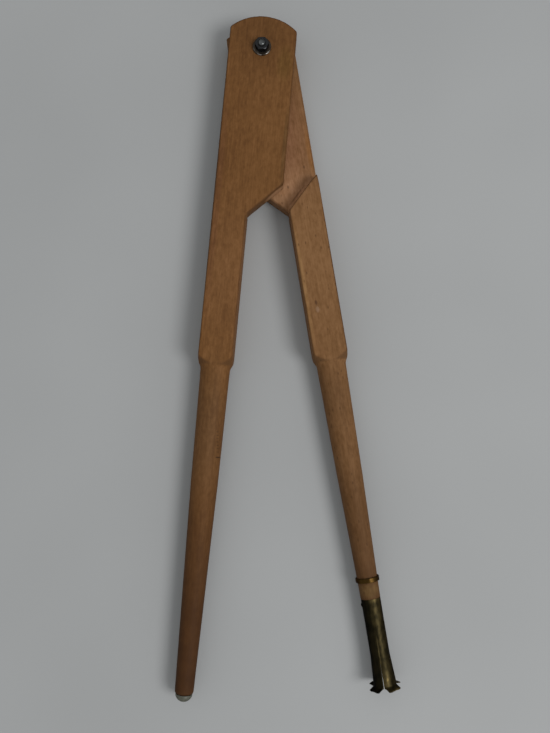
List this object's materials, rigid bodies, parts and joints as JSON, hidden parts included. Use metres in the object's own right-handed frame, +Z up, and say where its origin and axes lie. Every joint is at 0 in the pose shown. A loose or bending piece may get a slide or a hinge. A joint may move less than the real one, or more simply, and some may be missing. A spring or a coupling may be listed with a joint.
{
  "type": "chalkboard compass",
  "caption": "Wooden blackboard compass with half-lapped legs on a bolt, a rubber stud on one leg and a slit brass chalk tube with a sliding ring on the other.",
  "frame": {"origin": "on the hinge axis, in the plane of the back faces on which the compass lies", "axes": "+Z up along the hinge bolt, out of the nut; +Y along the bisector of the legs, out of the head; legs towards -Y, pivot leg on -X, chalk leg on +X"},
  "size_m": [0.1408, 0.4372, 0.0282],
  "materials": {
    "pivot_leg_beech": "old brown varnish, worn",
    "chalk_leg_beech": "old brown varnish, worn",
    "steel": "darkened zinc",
    "brass": "dark tarnish with bright rubs",
    "rubber": "pale, aged"
  },
  "bodies": {
    "pivot_side": {"pivot_leg": "pivot_leg_beech", "pivot_washer": "steel", "rubber_stud": "rubber"},
    "chalk_side": {"chalk_leg": "chalk_leg_beech", "pivot_bolt": "steel", "pivot_nut": "steel", "chalk_tube": "brass", "tube_tack": "brass"},
    "ring": {"clamp_ring": "brass"}
  },
  "joints": [
    {"name": "leg_hinge", "type": "hinge", "parent": "pivot_side", "child": "chalk_side", "pos_m": [0, 0, 0.011], "axis": [0, 0, 1], "range_deg": [-12.5, 165.7]},
    {"name": "ring_slide", "type": "slide", "parent": "chalk_side", "child": "ring", "axis": [0.1245, -0.9922, 0], "range_m": [0, 0.052]}
  ]
}
